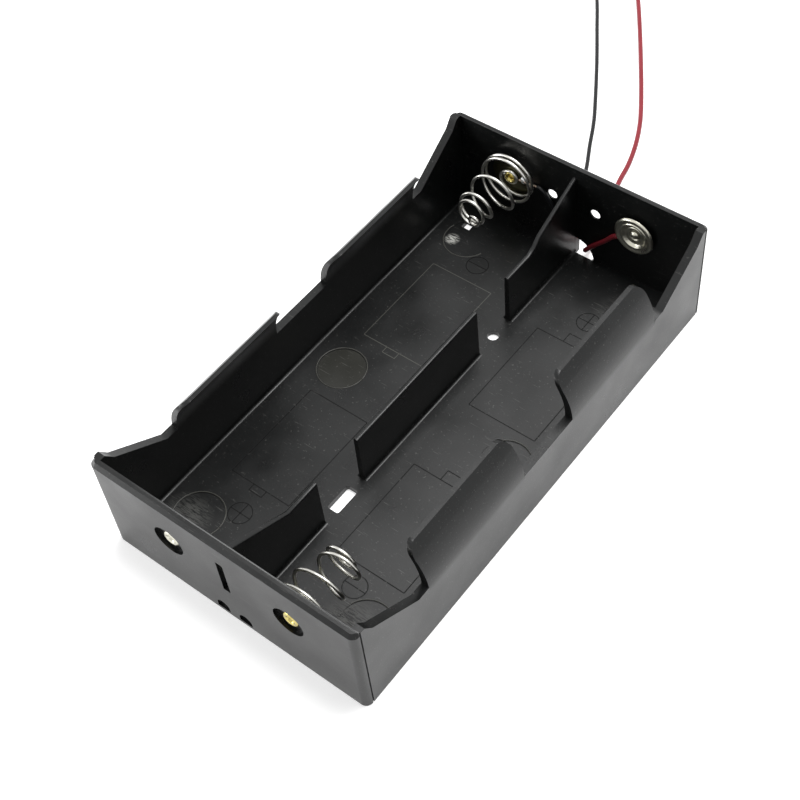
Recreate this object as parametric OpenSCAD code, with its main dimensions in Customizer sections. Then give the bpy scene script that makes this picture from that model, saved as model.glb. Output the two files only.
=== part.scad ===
// Open holder for four large round cells in two bays, two cells in line in each bay.
// +X runs across the bays, +Y runs along the cells to the wall where the leads come out, +Z is up.
// The origin is the middle of the underside. Sizes are in millimetres.

/* [Tray] */
// Overall length, along the cells
tray_l = 133; // [128:0.5:145]
// Overall width, across both bays
tray_w = 73.5; // [70:0.5:82]
// Height of the end walls and corner posts
tray_h = 29.8; // [29:0.1:34]
// Thickness of the two end walls
end_t = 2; // [1.8:0.1:3]
// Thickness of the two side walls
side_t = 2.1; // [1.6:0.1:2.6]
// Thickness of the floor
floor_t = 1.5; // [1.2:0.1:2.4]
// Radius of the four upright outer corners
corner_r = 1.8; // [0.5:0.1:2.5]
// Chamfer along the outer top edge of each end wall
rim_c = 0.9; // [0.3:0.1:1.2]
// Radius of the fillets where the floor meets the walls and fins
root_r = 0.8; // [0.3:0.1:1.2]
// Width of the parting groove beside each upright corner
groove_w = 0.4; // [0.2:0.1:0.8]
// Depth of the parting groove beside each upright corner
groove_d = 0.3; // [0.1:0.1:0.6]

/* [Side walls] */
// Length of each full-height corner post
post_l = 3.4; // [2.5:0.1:5]
// Length of the short step down from a post
step_l = 2.1; // [1:0.1:3]
// Height of the side wall at the foot of that step
shoulder_z = 27; // [22:0.1:28.5]
// Length of the ramp below the shoulder
ramp_l = 14; // [8:0.5:16]
// Length of the level shelf between a ramp and a clip
shelf_l = 3.5; // [2:0.1:6]
// Height of that shelf
shelf_z = 17.7; // [16.5:0.1:20]
// Height of the side wall between the two clips of a side
mid_z = 17.2; // [16.5:0.1:20]

/* [Clips] */
// Length of each spring clip
clip_l = 34.2; // [25:0.1:38]
// Height of the free edge of a clip
clip_top = 28.2; // [25:0.1:29]
// Radius of the outer face of a clip
clip_out_r = 17; // [16.5:0.1:18]
// Height of the middle of that outer curve
clip_out_z = 16; // [15:0.1:16.4]
// Radius of the inner face of a clip
clip_in_r = 15.6; // [15:0.1:16]
// Height of the middle of that inner curve
clip_in_z = 17.5; // [17:0.1:18]
// Radius of the two free corners of a clip
clip_corner = 2.75; // [0.5:0.05:4]

/* [Dividing fins] */
// Thickness of the fins between the bays, at the floor
fin_t = 1.5; // [1.2:0.1:2]
// Thickness that the fins thin to at the height of the end walls
fin_top_t = 1; // [0.8:0.1:1.2]
// Height of the level stretch of each fin
fin_z = 16.9; // [12:0.1:18]
// Length of the middle fin
mid_fin_l = 45.2; // [30:0.2:50]
// Length of the fin on the lead wall
far_fin_l = 29; // [27:0.5:31]
// Height of the fin where it meets the lead wall
far_fin_top = 26.8; // [22:0.1:28]
// Length of the fin on the other end wall
near_fin_l = 27.7; // [27:0.1:31]
// Height of the fin where it meets that wall
near_fin_top = 25.7; // [23.5:0.1:28]

/* [Floor] */
// Diameter of the round screw hole
screw_d = 3; // [2.5:0.1:4.5]
// Distance of the round screw hole from the middle
screw_y = 29.3; // [26:0.1:32]
// Length of the screw slot
slot_l = 7.4; // [5:0.1:9]
// Width of the screw slot
slot_w = 3.2; // [2.6:0.1:4]
// Distance of the screw slot from the middle
slot_y = 29.7; // [27:0.1:32]
// Side of the square windows at the lead end
window_s = 2.5; // [1.5:0.1:4]
// Diameter of the round ejector marks
mark_d = 12.2; // [8:0.1:14]
// Depth of the round ejector marks
mark_deep = 0.15; // [0.05:0.05:0.4]

/* [End wall openings] */
// Diameter of the recess behind each contact
recess_d = 8.2; // [7:0.1:10]
// Depth of the recess behind each contact
recess_deep = 1.2; // [0.8:0.1:1.3]
// Diameter of the hole for a rivet or eyelet
shank_hole_d = 2.5; // [2.3:0.1:3]
// Radius of the lead openings in the lead wall
lead_gate_r = 5.6; // [4:0.1:7]
// How far each lead opening reaches into the floor
gate_notch = 0.6; // [0.3:0.1:2.5]
// Width of the two low round-topped holes in the other end wall
arch_w = 3.6; // [3:0.1:5]
// Height of the top of those holes
arch_top = 3.9; // [3.2:0.1:5]
// Height of the sill of those holes
arch_sill = 0.9; // [0.6:0.1:1.2]
// Distance of each of those holes from the upright slot
arch_x = 3.25; // [3:0.05:6]
// Width of the upright slot behind the jumper strip
port_w = 2; // [1:0.1:3]
// Height of that upright slot
port_h = 11; // [9:0.1:13]
// Diameter of the two small round holes in the lead wall
peep_d = 2.8; // [1:0.1:3.4]
// Distance of each small round hole from the middle
peep_x = 6.4; // [5:0.1:8]
// Diameter of the recess behind each small round hole
peep_recess_d = 8.6; // [5:0.1:9]
// Wall that is left round each small round hole
peep_web = 0.4; // [0.3:0.1:1]

/* [Contacts] */
// Height of the spring and button on the near wall
near_z = 17.25; // [15:0.05:19]
// Height of the spring and button on the lead wall
far_z = 17.7; // [15:0.05:19]
// Sideways shift of the near spring from the middle of its bay
near_spring_shift = 0.1; // [-1.5:0.1:1.5]
// Sideways shift of the near button from the middle of its bay
near_button_shift = 1.7; // [-1.5:0.1:2]
// Sideways shift of the spring on the lead wall from the middle of its bay
far_spring_shift = -1; // [-1.5:0.1:1.5]
// Sideways shift of the button on the lead wall from the middle of its bay
far_button_shift = 0.5; // [-1.5:0.1:1.5]
// Thickness of the contact strip and the solder tags
strip_t = 0.3; // [0.2:0.05:0.5]
// Width of the jumper strip
strip_w = 8; // [5:0.1:9]
// Diameter of the button contacts
button_d = 11; // [8:0.1:13]
// Height of the button contacts above the wall
button_h = 1.5; // [1.3:0.1:2.5]
// Thickness of the button's sheet metal
button_t = 0.3; // [0.2:0.05:0.5]
// Diameter of the rivet and eyelet shanks
shank_d = 2.3; // [1.8:0.1:2.3]

/* [Springs] */
// Diameter of the spring wire
wire_d = 1; // [0.7:0.05:1.2]
// Outer diameter of the close turns at the foot of a spring
spring_d = 15; // [12:0.1:16]
// Free length of a spring
spring_l = 18.8; // [12:0.1:22]
// How far the turns of a spring lean, at its widest open turn
spring_lean = 1.55; // [0:0.05:1.8]

/* [Leads] */
// Diameter of the red lead
red_d = 1.3; // [1:0.05:1.6]
// Diameter of the black lead
black_d = 1.1; // [0.9:0.05:1.4]
// Diameter of the bare twisted strands
strand_d = 0.6; // [0.4:0.05:0.8]
// Length of the bare end of each lead
bare_l = 6; // [3:0.5:10]

/* [Hidden] */
$fn = 48;
// Clearance between a shank and what it passes, and round pieces that lie near each other
gap = 0.1;
// Small overlap that joins two shapes of one moulding
join = 0.5;
half_l = tray_l / 2;
half_w = tray_w / 2;
wall_y = half_l - end_t;
wall_x = half_w - side_t;
// Places along a side wall where its height changes, from the middle of the tray
post_y = half_l - post_l;
shoulder_y = post_y - step_l;
ramp_y = shoulder_y - ramp_l;
clip_far_y = ramp_y - shelf_l;
clip_near_y = clip_far_y - clip_l;
// How far a clip may lean in from the outer face of its wall
clip_reach = side_t + clip_in_r;
// The end fins: distance from the free end, and height above the level stretch
far_fin_rise = [[9, 0], [11.3, 1], [13.3, 3]];
near_fin_rise = [[9.2, 0]];
// The notch in the near fin that lets the jumper strip pass
notch_deep = 1.3;
// Side position of the upright slot behind the strip
port_x = -0.3;
// Ejector marks: beside the middle, and in each corner of the floor
mark_x = half_w - 12.15;
mark_y = half_l - 14.5;
// The two square windows
windows = [[9.25 - half_w, half_l - 10.3], [half_w - 9.25, half_l - 8.5]];
// Corner radius of the screw slot
slot_r = 0.6;
// Wall that is left behind each contact
web_t = end_t - recess_deep;
gate_z = 0.7;
// The contacts: side position and height
bay_x = (wall_x + fin_t / 2) / 2;
near_spring = [bay_x + near_spring_shift, near_z];
near_button = [near_button_shift - bay_x, near_z];
far_spring = [far_spring_shift - bay_x, far_z];
far_button = [bay_x + far_button_shift, far_z];
shank_r = shank_d / 2;
bore_r = 0.65;
tail_r = 2.3;
tail_h = 0.7;
// The spring: radius of its hook, foot and tip, and how far the foot stands off its seat
wire_r = wire_d / 2;
hook_r = shank_r + gap + wire_r;
foot_r = spring_d / 2 - wire_r;
tip_r = 1.3;
foot_lift = 0.8;
turn_pitch = wire_d + 0.05;
foot_z = wire_r + foot_lift;
tip_z = spring_l - strip_t - wire_r;
// Height of the last of the close turns, and what the open turns rise from there
open_z = foot_z + 1.3 * turn_pitch;
rise = tip_z - open_z;
// Turns, radius of the wire's centre line, height above the seat, share of the lean.
// Whole turns lie at the right, as seen from the bay.
spring_shape = [
    [-1.55, hook_r, wire_r, 0],
    [-0.6, hook_r, wire_r, 0],
    [-0.05, foot_r, foot_z, 0],
    [1.25, foot_r, open_z, 0],
    [1.5, foot_r, open_z + rise * 0.05, 0.32],
    [2, foot_r * 0.93, open_z + rise * 0.255, 1],
    [2.5, foot_r * 0.87, open_z + rise * 0.455, 1],
    [3, foot_r * 0.75, open_z + rise * 0.655, 1],
    [3.5, foot_r * 0.65, open_z + rise * 0.83, 0.75],
    [4, foot_r * 0.53, open_z + rise * 0.9, 0.2],
    [4.5, foot_r * 0.42, open_z + rise * 0.95, 0.1],
    [5, tip_r, tip_z, 0],
    [5.8, tip_r, tip_z, 0]
];
first_turn = spring_shape[0][0];
spring_turns = spring_shape[len(spring_shape) - 1][0] - first_turn;
// How far the small end ring lies to the right and down
tip_shift = [1, -0.9];
rings_per_turn = 20;
wire_sides = 8;
// The eyelet's flange holds the hook down
flange_r = 1.4;
flange_z = strip_t + wire_d - 0.13;
flange_h = 0.4;
// The button: rivet head, dish, raised ring and rim
dish_r = 2.6;
ring_r = 3.4;
rim_w = 0.4;
head_r = 1.3;
head_h = 0.8;
// Solder tags
plate_r = 5.8;
tag_r = 2.75;
tongue_w = 2.6;
// Distance of each lead's cut end from its contact's centre, and the direction it lies in
red_reach = button_d / 2 + 0.1;
red_turn = 213;
black_reach = spring_d / 2 + 0.6;
black_turn = 5;
red_tail_l = red_reach - ring_r;
black_tail_l = black_reach - (hook_r + wire_r + 0.4);
lead_y = wall_y - 0.7;
solder_r = 1.1;
solder_h = 0.75;
cord_sides = 8;
// Points between two points of a lead's route
cord_steps = 2;
red_start = polar(far_button, red_reach + gap, red_turn);
red_bend = polar(far_button, red_reach + 1.6, red_turn);
black_start = polar(far_spring, black_reach + gap, black_turn);
black_bend = polar(far_spring, black_reach + 0.9, black_turn);
// Routes of the two leads: down the inside of the lead wall, out under it and away over the table
red_route = [
    [red_start[0], lead_y, red_start[1]],
    [red_bend[0], lead_y, red_bend[1]],
    [10, 63.8, 11],
    [6.4, 63.8, 7],
    [4.2, 64, 4],
    [3.6, 66, 2.3],
    [3.2, 69, 1.1],
    [2.4, 73, 0.7],
    [0.6, 79, 0.7],
    [-1.8, 86, 0.7],
    [-3.8, 92.5, 0.7],
    [-5.3, 99.5, 0.7],
    [-8, 107.5, 0.7],
    [-12, 116, 0.7],
    [-18, 126, 0.7],
    [-25.4, 137.5, 0.7],
    [-32.8, 148.7, 0.7],
    [-40.7, 160.2, 0.7],
    [-49, 171.5, 0.7],
    [-58, 182, 0.7],
    [-67.5, 191.5, 0.7]
];
black_route = [
    [black_start[0], lead_y, black_start[1]],
    [black_bend[0], lead_y, black_bend[1]],
    [-8.2, 63.8, 17.4],
    [-5.8, 63.8, 14.2],
    [-3.6, 63.8, 10.5],
    [-2.8, 63.8, 6.5],
    [-3, 64.2, 3.8],
    [-3.6, 66, 2.3],
    [-4.6, 69, 1],
    [-6.2, 73, 0.6],
    [-8.6, 79, 0.6],
    [-11.4, 86, 0.6],
    [-14.2, 92.5, 0.6],
    [-18.1, 99.9, 0.6],
    [-22.6, 108.8, 0.6],
    [-28.7, 119, 0.6],
    [-36, 130.7, 0.6],
    [-43.3, 141.9, 0.6],
    [-51, 153.6, 0.6],
    [-59.5, 165, 0.6],
    [-69, 175.5, 0.6],
    [-79.5, 184.5, 0.6]
];

function unit(v) = v / norm(v);

// Point at a distance and direction from a contact's centre, in the plane of the wall
function polar(centre, reach, turn) = centre + reach * [cos(turn), sin(turn)];

// Value of column k of a table at t, in straight steps between its rows
function lookup_row(table, t, k) =
    lookup(t, [for (row = table) [row[0], row[k]]]);

// Smooth curve through the points p, at the share t of the stretch after point i
function spline(p, i, t) =
    let (
        a = p[max(i - 1, 0)],
        b = p[i],
        c = p[i + 1],
        d = p[min(i + 2, len(p) - 1)]
    )
    0.5 * (2 * b + t * (c - a) + t * t * (2 * a - 5 * b + 4 * c - d)
        + t * t * t * (3 * b - a - 3 * c + d));

function smooth(p, steps) = [
    for (i = [0:len(p) - 2]) for (k = [0:steps - 1]) spline(p, i, k / steps),
    p[len(p) - 1]
];

function heading(p, i) = unit(p[min(i + 1, len(p) - 1)] - p[max(i - 1, 0)]);

// One ring of a tube: points round the path at its point i, squared up to the direction side
function ring(p, i, r, sides, side) =
    let (
        t = heading(p, i),
        a = unit(cross(t, side)),
        b = cross(a, t)
    )
    [for (k = [0:sides - 1]) p[i] + r * (cos(360 * k / sides) * a + sin(360 * k / sides) * b)];

// Round bar of diameter d along a path
module tube(path, d, sides, side) {
    n = len(path);
    walls = [
        for (i = [0:n - 2]) for (k = [0:sides - 1]) [
            i * sides + k,
            i * sides + (k + 1) % sides,
            (i + 1) * sides + (k + 1) % sides,
            (i + 1) * sides + k
        ]
    ];
    start = [[for (k = [sides - 1:-1:0]) k]];
    end = [[for (k = [0:sides - 1]) (n - 1) * sides + k]];
    polyhedron([for (i = [0:n - 1]) each ring(path, i, d / 2, sides, side)], concat(start, walls, end));
}

// Places children on the inner face of the lead wall, with their Z axis pointing into the bay
module on_far_wall(place) {
    translate([place[0], wall_y, place[1]])
        rotate([90, 0, 0])
            children();
}

// The same on the near wall
module on_near_wall(place) {
    translate([place[0], -wall_y, place[1]])
        rotate([90, 0, 180])
            children();
}

// Rectangle with round corners, centred
module round_rect(w, l, r) {
    square([w - 2 * r, l], center = true);
    square([w, l - 2 * r], center = true);
    for (x = [-1, 1], y = [-1, 1])
        translate([x * (w / 2 - r), y * (l / 2 - r)])
            circle(r);
}

// Extrudes an outline given as Y and Z, centred on X = 0
module along_x(w) {
    translate([-w / 2, 0, 0])
        rotate([90, 0, 90])
            linear_extrude(w)
                children();
}

// Height of the side walls along the tray
module side_outline() {
    polygon([
        [-half_l, 0],
        [-half_l, tray_h],
        [-post_y, tray_h],
        [-shoulder_y, shoulder_z],
        [-ramp_y, shelf_z],
        [-clip_far_y, shelf_z],
        [-clip_far_y, clip_out_z],
        [-clip_near_y, clip_out_z],
        [-clip_near_y, mid_z],
        [clip_near_y, mid_z],
        [clip_near_y, clip_out_z],
        [clip_far_y, clip_out_z],
        [clip_far_y, shelf_z],
        [ramp_y, shelf_z],
        [shoulder_y, shoulder_z],
        [post_y, tray_h],
        [half_l, tray_h],
        [half_l, 0]
    ]);
}

// Floor, end walls and the straight part of the side walls
module tub() {
    difference() {
        intersection() {
            linear_extrude(tray_h)
                round_rect(tray_w, tray_l, corner_r);
            along_x(tray_w + 2)
                side_outline();
        }
        translate([-wall_x, -wall_y, floor_t])
            cube([2 * wall_x, 2 * wall_y, tray_h]);
    }
}

// Side view of one clip: straight sides, round free corners
module clip_outline() {
    r = clip_corner;
    translate([clip_near_y, clip_out_z])
        square([clip_l, clip_top - clip_out_z - r]);
    translate([clip_near_y + r, clip_out_z])
        square([clip_l - 2 * r, clip_top - clip_out_z]);
    for (y = [clip_near_y + r, clip_far_y - r])
        translate([y, clip_top - r])
            circle(r);
}

// A thin curved wall that leans in over a cell and thins towards its free edge
module clip() {
    length = tray_l;
    intersection() {
        difference() {
            translate([half_w - clip_out_r, 0, clip_out_z])
                rotate([90, 0, 0])
                    cylinder(r = clip_out_r, h = length, center = true, $fn = 96);
            translate([wall_x - clip_in_r, 0, clip_in_z])
                rotate([90, 0, 0])
                    cylinder(r = clip_in_r, h = length, center = true, $fn = 96);
            translate([0, -length / 2, 0])
                cube([wall_x, length, clip_in_z]);
        }
        translate([half_w - clip_reach / 2, 0, 0])
            along_x(clip_reach)
                clip_outline();
    }
}

// Outline of an end fin from the wall to its free end, with its wall at y = 0
module end_fin_outline(length, top, rise) {
    polygon(concat(
        [[join, floor_t - join], [-length, floor_t - join], [-length, fin_z]],
        [for (p = rise) [p[0] - length, fin_z + p[1]]],
        [[0, top], [join, top]]
    ));
}

// All three fins, thinning upwards
module fins() {
    intersection() {
        along_x(fin_t + 2) {
            translate([-mid_fin_l / 2, floor_t - join])
                square([mid_fin_l, fin_z - floor_t + join]);
            translate([wall_y, 0])
                end_fin_outline(far_fin_l, far_fin_top, far_fin_rise);
            mirror([1, 0])
                translate([wall_y, 0])
                    end_fin_outline(near_fin_l, near_fin_top, near_fin_rise);
        }
        rotate([90, 0, 0])
            linear_extrude(tray_l, center = true)
                polygon([
                    [-fin_t / 2, 0],
                    [fin_t / 2, 0],
                    [fin_t / 2, floor_t],
                    [fin_top_t / 2, tray_h],
                    [-fin_top_t / 2, tray_h],
                    [-fin_t / 2, floor_t]
                ]);
    }
}

// Fillet along Y in the corner between the floor and an upright face at x = 0 on its -X side
module root(length) {
    translate([0, length / 2, floor_t])
        rotate([90, 0, 0])
            linear_extrude(length)
                difference() {
                    translate([-join / 2, -join / 2])
                        square(root_r + join / 2);
                    translate([root_r, root_r])
                        circle(root_r);
                }
}

module roots() {
    for (side = [0, 1]) mirror([side, 0, 0]) {
        translate([-wall_x, 0, 0])
            root(2 * wall_y);
        translate([fin_t / 2, 0, 0])
            root(mid_fin_l);
        translate([fin_t / 2, wall_y - far_fin_l / 2, 0])
            root(far_fin_l);
        translate([fin_t / 2, near_fin_l / 2 - wall_y, 0])
            root(near_fin_l);
    }
}

// Recess and rivet hole behind a contact, cut from the inner face outwards
module contact_cut() {
    translate([0, 0, -end_t - 1])
        cylinder(d = recess_d, h = recess_deep + 1);
    translate([0, 0, -end_t - 1])
        cylinder(d = shank_hole_d, h = end_t + 2);
}

// Quarter-round opening beside the fin for a lead
module lead_gate() {
    translate([fin_t / 2, 0, 0])
        intersection() {
            union() {
                translate([0, half_l + 1, gate_z])
                    rotate([90, 0, 0])
                        cylinder(r = lead_gate_r, h = end_t + 1);
                translate([0, wall_y, -1])
                    cube([lead_gate_r, end_t + 1, gate_z + 1]);
                translate([0, wall_y - gate_notch, -1])
                    cube([lead_gate_r, gate_notch + 1, floor_t + 1.1]);
            }
            translate([0, wall_y - gate_notch - 1, -1])
                cube([lead_gate_r + 1, end_t + gate_notch + 3, tray_h]);
        }
}

// Round-topped hole low in the near wall
module arch(x) {
    translate([x - arch_w / 2, -half_l - 1, arch_sill])
        intersection() {
            cube([arch_w, end_t + 1, arch_top - arch_sill]);
            translate([arch_w / 2, end_t + 1, arch_top - arch_sill - arch_w / 2])
                rotate([90, 0, 0]) {
                    cylinder(d = arch_w, h = end_t + 1);
                    translate([-arch_w / 2, -arch_w, 0])
                        cube([arch_w, arch_w, end_t + 1]);
                }
        }
}

// Small round hole through the lead wall, with a wide recess behind it
module peep() {
    translate([peep_x, half_l + 1, far_z])
        rotate([90, 0, 0]) {
            cylinder(d = peep_d, h = end_t + 2);
            cylinder(d = peep_recess_d, h = end_t + 1 - peep_web);
        }
}

module wall_cuts() {
    for (place = [far_spring, far_button])
        on_far_wall(place)
            contact_cut();
    for (place = [near_spring, near_button])
        on_near_wall(place)
            contact_cut();
    for (side = [0, 1]) mirror([side, 0, 0]) {
        lead_gate();
        peep();
    }
    for (x = [port_x - arch_x, port_x + arch_x])
        arch(x);
    translate([port_x - port_w / 2, -half_l - 1, near_z - port_h / 2])
        cube([port_w, end_t + 1, port_h]);
    translate([-fin_t, -wall_y, near_z - port_h / 2])
        cube([2 * fin_t, notch_deep, port_h]);
}

module floor_cuts() {
    translate([0, screw_y, -1])
        cylinder(d = screw_d, h = floor_t + 2);
    translate([0, -slot_y, -1])
        linear_extrude(floor_t + 2)
            round_rect(slot_w, slot_l, slot_r);
    for (place = windows)
        translate([place[0] - window_s / 2, place[1] - window_s / 2, -1])
            cube([window_s, window_s, floor_t + 2]);
    for (x = [-mark_x, mark_x], y = [-mark_y, 0, mark_y])
        translate([x, y, floor_t - mark_deep])
            cylinder(d = mark_d, h = 1);
}

// Chamfers on the end walls and grooves beside the corners
module edge_cuts() {
    rim_l = tray_w - 2 * corner_r - 2;
    groove_y = half_l - corner_r - groove_w;
    for (far = [0, 1]) mirror([0, far, 0]) {
        along_x(rim_l)
            translate([half_l, tray_h])
                rotate(45)
                    square(rim_c * sqrt(2), center = true);
        for (side = [0, 1]) mirror([side, 0, 0])
            translate([half_w - groove_d, groove_y, -1])
                cube([1, groove_w, tray_h + 2]);
    }
}

module tray() {
    color("#2b2c2e")
        difference() {
            union() {
                tub();
                for (side = [0, 1], far = [0, 1])
                    mirror([side, 0, 0])
                        mirror([0, far, 0])
                            clip();
                fins();
                roots();
            }
            wall_cuts();
            floor_cuts();
            edge_cuts();
        }
}

// Contact spring seen from its seat: a hook, a leg, close turns and a cone of leaning open turns
spring_path = [
    for (i = [0:round(spring_turns * rings_per_turn)])
        let (
            t = first_turn + i / rings_per_turn,
            r = lookup_row(spring_shape, t, 1),
            lean = lookup_row(spring_shape, t, 3) * spring_lean,
            h = lookup_row(spring_shape, t, 2) + lean * cos(360 * t),
            shift = lookup(t, [[4, 0], [5, 1]]) * tip_shift
        )
        [
            r * cos(360 * t) + shift[0],
            r * sin(360 * t) + shift[1],
            strip_t + h
        ]
];

module contact_spring() {
    color("#c9c6b8")
        tube(spring_path, wire_d, wire_sides, [0, 0, 1]);
}

module spring_far() {
    on_far_wall(far_spring)
        contact_spring();
}

module spring_near() {
    on_near_wall(near_spring)
        contact_spring();
}

// Rolled ring that holds a rivet or eyelet in the recess of the wall
module rolled_tail() {
    translate([0, 0, -web_t - tail_h / 2])
        rotate_extrude()
            translate([tail_r - tail_h / 2, 0])
                circle(tail_h / 2);
    translate([0, 0, -web_t - tail_h / 2])
        cylinder(r = tail_r - tail_h / 2, h = tail_h / 2);
}

// Hollow eyelet through the wall and the hook of a spring
module eyelet() {
    difference() {
        union() {
            rolled_tail();
            translate([0, 0, -web_t])
                cylinder(r = shank_r, h = web_t + flange_z);
            translate([0, 0, flange_z])
                cylinder(r = flange_r, h = flange_h);
        }
        translate([0, 0, -end_t])
            cylinder(r = bore_r, h = end_t + flange_z + flange_h + 1);
    }
}

module eyelet_far() {
    color("#c8a24a")
        on_far_wall(far_spring)
            eyelet();
}

module eyelet_near() {
    color("#c8a24a")
        on_near_wall(near_spring)
            eyelet();
}

// Pressed cup: a dish for the rivet's head inside a raised ring with a turned rim
module button() {
    r = button_d / 2;
    top = button_h;
    t = button_t;
    seat = strip_t;
    hole_r = shank_r + gap;
    color("#c4c2ae")
        rotate_extrude($fn = 64)
            polygon([
                [hole_r, seat],
                [dish_r + t / 2, seat],
                [ring_r + t / 2, top - t],
                [r - rim_w, top - t],
                [r - t, top - rim_w],
                [r, top - rim_w],
                [r, top - rim_w / 2],
                [r - rim_w, top],
                [ring_r - t / 2, top],
                [dish_r - t / 2, seat + t],
                [hole_r, seat + t]
            ]);
}

module button_far() {
    on_far_wall(far_button)
        button();
}

module button_near() {
    on_near_wall(near_button)
        button();
}

// Solid rivet with a domed head in the dish of a button
module rivet() {
    seat = strip_t + button_t;
    dome_r = (head_r * head_r + head_h * head_h) / (2 * head_h);
    rolled_tail();
    translate([0, 0, -web_t])
        cylinder(r = shank_r, h = web_t + seat);
    intersection() {
        translate([0, 0, seat + head_h - dome_r])
            sphere(dome_r);
        translate([0, 0, seat])
            cylinder(r = head_r + 1, h = head_h + 1);
    }
}

module rivet_far() {
    color("#d8d6cc")
        on_far_wall(far_button)
            rivet();
}

module rivet_near() {
    color("#d8d6cc")
        on_near_wall(near_button)
            rivet();
}

// Strip that joins the near spring and the near button through the notch in the fin
module jumper_strip() {
    r = strip_w / 2;
    color("#b9b7ab")
        translate([0, -wall_y + strip_t, near_z])
            rotate([90, 0, 0])
                linear_extrude(strip_t)
                    difference() {
                        union() {
                            translate([near_button[0], -r])
                                square([near_spring[0] - near_button[0], strip_w]);
                            translate([near_button[0], 0])
                                circle(r);
                            translate([near_spring[0], 0])
                                circle(r);
                        }
                        translate([near_button[0], 0])
                            circle(shank_r + gap);
                        translate([near_spring[0], 0])
                            circle(shank_r + gap);
                    }
}

// Solder tag under the far button, with a tongue towards the red lead
module tag_positive() {
    color("#b9b7ab")
        on_far_wall(far_button)
            linear_extrude(strip_t)
                difference() {
                    union() {
                        circle(tag_r);
                        rotate(red_turn)
                            translate([0, -tongue_w / 2])
                                square([red_reach, tongue_w]);
                    }
                    circle(shank_r + gap);
                }
}

// Round contact plate under the far spring, which the black lead is soldered to
module tag_negative() {
    color("#b9b7ab")
        on_far_wall(far_spring)
            linear_extrude(strip_t)
                difference() {
                    circle(plate_r);
                    circle(shank_r + gap);
                }
}

// Bare strand at the inner end of a lead, lying towards the contact's centre
module tail(reach, turn, length) {
    rotate(turn)
        translate([reach - length, 0, wall_y - lead_y])
            rotate([0, 90, 0])
                cylinder(d = strand_d, h = length);
}

// Flat drop of solder round the end of that strand
module solder(reach, turn, length) {
    ball_r = (solder_r * solder_r + solder_h * solder_h) / (2 * solder_h);
    difference() {
        rotate(turn)
            translate([reach - length + solder_r, 0, strip_t])
                intersection() {
                    translate([0, 0, solder_h - ball_r])
                        sphere(ball_r);
                    cylinder(r = 2 * solder_r, h = 2 * solder_h);
                }
        tail(reach, turn, length);
    }
}

module solder_positive() {
    color("#cfd1d2")
        on_far_wall(far_button)
            solder(red_reach, red_turn, red_tail_l);
}

module solder_negative() {
    color("#cfd1d2")
        on_far_wall(far_spring)
            solder(black_reach, black_turn, black_tail_l);
}

module red_tail() {
    color("#c58a55")
        on_far_wall(far_button)
            tail(red_reach, red_turn, red_tail_l);
}

module black_tail() {
    color("#c58a55")
        on_far_wall(far_spring)
            tail(black_reach, black_turn, black_tail_l);
}

module red_lead() {
    color("#b5323f")
        tube(smooth(red_route, cord_steps), red_d, cord_sides, [0, 0, 1]);
}

module black_lead() {
    color("#202022")
        tube(smooth(black_route, cord_steps), black_d, cord_sides, [0, 0, 1]);
}

// Bare end beyond the last point of a lead
module bare_end(route) {
    last = route[len(route) - 1];
    along = heading(smooth(route, cord_steps), cord_steps * (len(route) - 1));
    color("#c9cbcc")
        tube([last, last + bare_l * along], strand_d, cord_sides, [0, 0, 1]);
}

module red_end() {
    bare_end(red_route);
}

module black_end() {
    bare_end(black_route);
}

tray();
spring_far();
spring_near();
eyelet_far();
eyelet_near();
button_far();
button_near();
rivet_far();
rivet_near();
jumper_strip();
tag_positive();
tag_negative();
solder_positive();
solder_negative();
red_lead();
black_lead();
red_tail();
black_tail();
red_end();
black_end();
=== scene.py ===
import math

import bmesh
import bpy
import numpy as np
from mathutils import Matrix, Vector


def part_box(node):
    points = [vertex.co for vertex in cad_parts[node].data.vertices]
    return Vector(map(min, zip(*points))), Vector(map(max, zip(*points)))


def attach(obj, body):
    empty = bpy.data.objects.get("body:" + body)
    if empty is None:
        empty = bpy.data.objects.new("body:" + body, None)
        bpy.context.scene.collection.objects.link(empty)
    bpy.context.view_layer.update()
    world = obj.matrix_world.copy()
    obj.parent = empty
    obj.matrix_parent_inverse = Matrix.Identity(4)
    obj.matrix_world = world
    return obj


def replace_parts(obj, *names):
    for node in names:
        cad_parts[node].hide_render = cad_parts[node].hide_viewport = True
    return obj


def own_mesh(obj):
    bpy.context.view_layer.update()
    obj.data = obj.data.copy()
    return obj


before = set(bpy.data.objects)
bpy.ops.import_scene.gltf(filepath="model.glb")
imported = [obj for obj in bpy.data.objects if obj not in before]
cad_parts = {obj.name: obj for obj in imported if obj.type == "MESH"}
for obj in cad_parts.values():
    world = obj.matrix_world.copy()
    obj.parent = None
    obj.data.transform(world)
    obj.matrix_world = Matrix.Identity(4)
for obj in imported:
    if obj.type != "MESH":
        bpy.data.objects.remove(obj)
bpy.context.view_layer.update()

# The tray stands on the floor at z = 0. +Y runs along the cells to the wall where the leads leave.
MM = 0.001
BODY = "holder"
TRAY_LOW, TRAY_HIGH = (np.array(corner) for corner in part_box("tray"))
END_WALL = 2.0 * MM
FLOOR_TOP = 1.5 * MM
# Inner faces of the two end walls
FAR_WALL = TRAY_HIGH[1] - END_WALL
NEAR_WALL = TRAY_LOW[1] + END_WALL
UPWARDS = np.array([0, 0, 1.0])


# ---------------------------------------------------------------- camera

def level_axes(back):
    """For a camera or lamp with this back axis: the level direction to its right, and the one up from it."""
    side = np.cross(UPWARDS, back)
    side /= np.linalg.norm(side)
    return side, np.cross(back, side)


def set_up(thing, right, up, back, place):
    """Puts a camera or lamp in the scene at a place, with its own axes turned to the three directions."""
    bpy.context.scene.collection.objects.link(thing)
    rows = [[right[i], up[i], back[i], place[i]] for i in range(3)]
    thing.matrix_world = Matrix(rows + [[0, 0, 0, 1]])


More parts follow.
